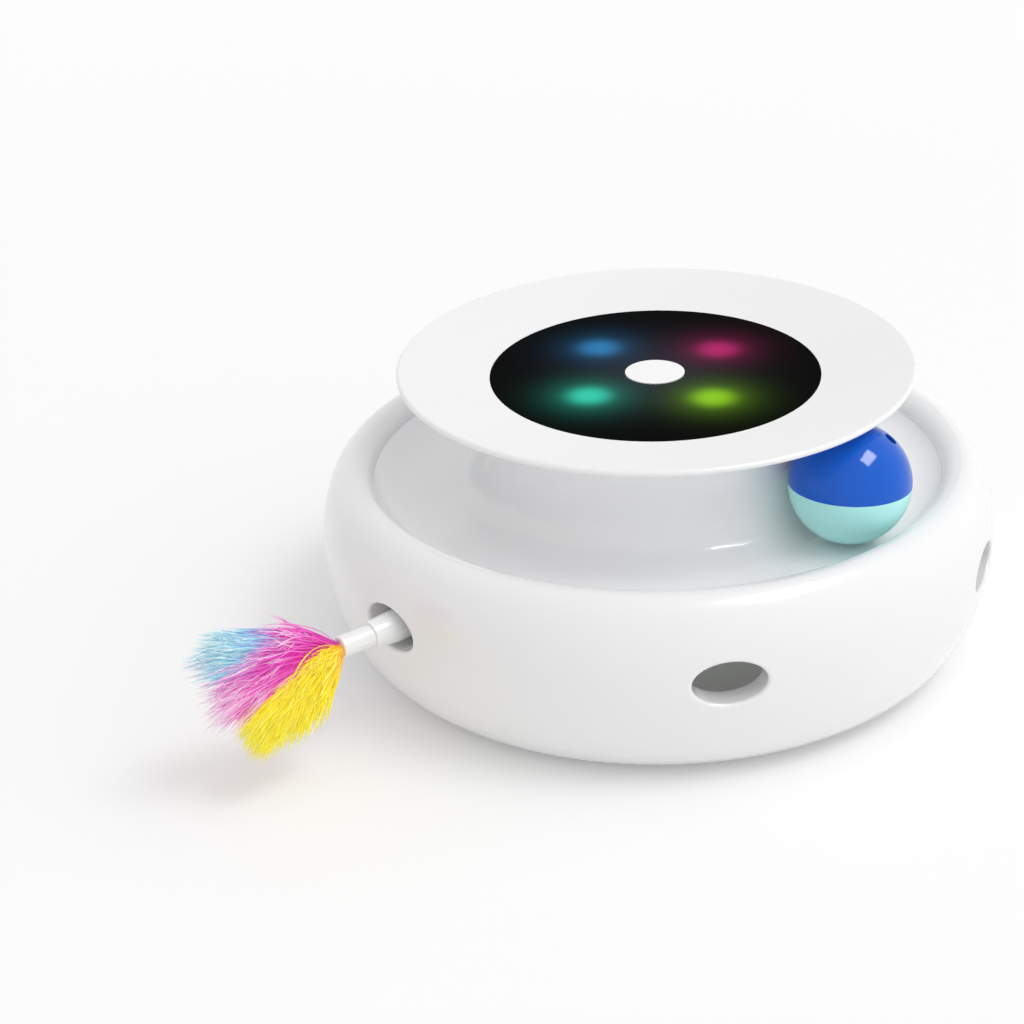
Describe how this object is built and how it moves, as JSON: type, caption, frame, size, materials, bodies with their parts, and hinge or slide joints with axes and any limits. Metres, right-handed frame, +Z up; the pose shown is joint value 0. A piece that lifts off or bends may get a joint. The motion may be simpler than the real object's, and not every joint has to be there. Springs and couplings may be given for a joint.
{
  "type": "automatic cat toy",
  "caption": "Automatic cat toy: round white housing with oval side holes and a pop-out feather wand, a ball rolling in a ring track, and a dished top with a lit panel and button.",
  "frame": {"origin": "on the toy's upright axis, at the surface it stands on (underside of the foot ring)", "axes": "+Z up along the toy's axis; -X along the feather, out of the hole it stands in; +Y completes the frame"},
  "size_m": [0.3065, 0.23, 0.1006],
  "materials": {
    "white_plastic": "gloss moulded plastic",
    "inner_plastic": "plain moulded plastic",
    "gear_plastic": "low-friction plastic",
    "panel_black": "smoked gloss plastic",
    "board_green": "lacquered board",
    "switch_black": "moulded plastic",
    "lamp_magenta": "clear tinted resin",
    "lamp_blue": "clear tinted resin",
    "lamp_teal": "clear tinted resin",
    "lamp_lime": "clear tinted resin",
    "rubber_grey": "soft rubber",
    "rubber_black": "soft rubber",
    "steel": "zinc-plated steel",
    "brass": "plain brass",
    "cell_jacket": "plain jacket on a light can",
    "ball_blue": "gloss moulded plastic",
    "ball_aqua": "gloss moulded plastic",
    "feather_blue": "soft feather strands",
    "feather_pink": "soft feather strands",
    "feather_yellow": "soft feather strands"
  },
  "bodies": {
    "base": {"outer_shell": "white_plastic", "track_column": "white_plastic", "top_cap": "white_plastic", "display_panel": "panel_black", "tact_switch": "switch_black", "control_board": "board_green", "led_magenta": "lamp_magenta", "led_blue": "lamp_blue", "led_teal": "lamp_teal", "led_lime": "lamp_lime", "base_plate": "inner_plastic", "foot_ring": "rubber_grey", "battery_cells": "cell_jacket", "battery_contacts": "steel", "ratchet_ring": "gear_plastic", "thrust_washer": "gear_plastic", "turret_washer": "steel", "deck_plate": "inner_plastic", "shaft_bushes": "brass", "motor_can": "steel", "drive_belt": "rubber_black", "base_screws": "steel", "cap_screws": "steel", "board_screws": "steel", "track_screws": "steel", "deck_screws": "steel", "ratchet_screws": "steel", "turret_screw": "steel"},
    "turret": {"turret_plate": "inner_plastic", "slide_rails": "gear_plastic", "rail_screws": "steel", "pawl_pin": "steel", "pawl_spring": "steel"},
    "feather": {"feather_rack": "gear_plastic", "feather_holder": "white_plastic", "holder_screws": "steel", "feather_stem": "white_plastic", "plume_blue": "feather_blue", "plume_pink": "feather_pink", "plume_yellow": "feather_yellow"},
    "drive": {"rack_pinion": "gear_plastic", "drive_shaft": "steel", "drive_pulley": "gear_plastic"},
    "motor_rotor": {"motor_shaft": "steel", "motor_pulley": "gear_plastic"},
    "pawl": {"pawl": "gear_plastic"},
    "button": {"button_cap": "white_plastic", "switch_plunger": "switch_black"},
    "battery_door": {"battery_door": "inner_plastic"},
    "bell": {"ball_bell": "steel"},
    "ball": {"ball_upper_half": "ball_blue", "ball_lower_half": "ball_aqua"}
  },
  "joints": [
    {"name": "turret_turn", "type": "hinge", "parent": "base", "child": "turret", "pos_m": [0, 0, 0.0285], "axis": [0, 0, 1], "range_deg": [-3, 3]},
    {"name": "feather_slide", "type": "slide", "parent": "turret", "child": "feather", "axis": [1, 0, 0], "range_m": [0, 0.095], "deforming": ["plume_blue", "plume_pink", "plume_yellow"]},
    {"name": "drive_spin", "type": "hinge", "parent": "turret", "child": "drive", "pos_m": [0, 0, 0.06], "axis": [0, 0, 1], "range_deg": [-690, 10]},
    {"name": "motor_spin", "type": "hinge", "parent": "base", "child": "motor_rotor", "pos_m": [0.028, 0, 0.083], "axis": [0, 0, 1], "range_deg": [-2160, 10]},
    {"name": "pawl_swing", "type": "hinge", "parent": "turret", "child": "pawl", "pos_m": [0.017, 0.035, 0.0233], "axis": [0, 0, -1], "range_deg": [0, 14], "stiffness_Nm_per_rad": 0.01, "springref_deg": -5.73},
    {"name": "ball_orbit", "type": "hinge", "parent": "base", "child": "bell", "pos_m": [0, 0, 0.07625], "axis": [0, 0, 1], "continuous": true},
    {"name": "ball_roll", "type": "hinge", "parent": "bell", "child": "ball", "pos_m": [0.01677, -0.07566, 0.07625], "axis": [0.2164, -0.9763, 0], "continuous": true},
    {"name": "button_press", "type": "slide", "parent": "base", "child": "button", "axis": [0, 0, -1], "range_m": [0, 0.0008], "stiffness_N_per_m": 600, "springref_m": -0.001},
    {"name": "battery_door_swing", "type": "hinge", "parent": "base", "child": "battery_door", "pos_m": [0, 0.02505, 0.0029], "axis": [1, 0, 0], "range_deg": [0, 80]}
  ],
  "couplings": [
    {"joint": "drive_spin", "follows": "feather_slide", "rad_per_m": -125},
    {"joint": "motor_spin", "follows": "feather_slide", "rad_per_m": -394.4},
    {"joint": "ball_roll", "follows": "ball_orbit", "ratio": -3.875}
  ]
}
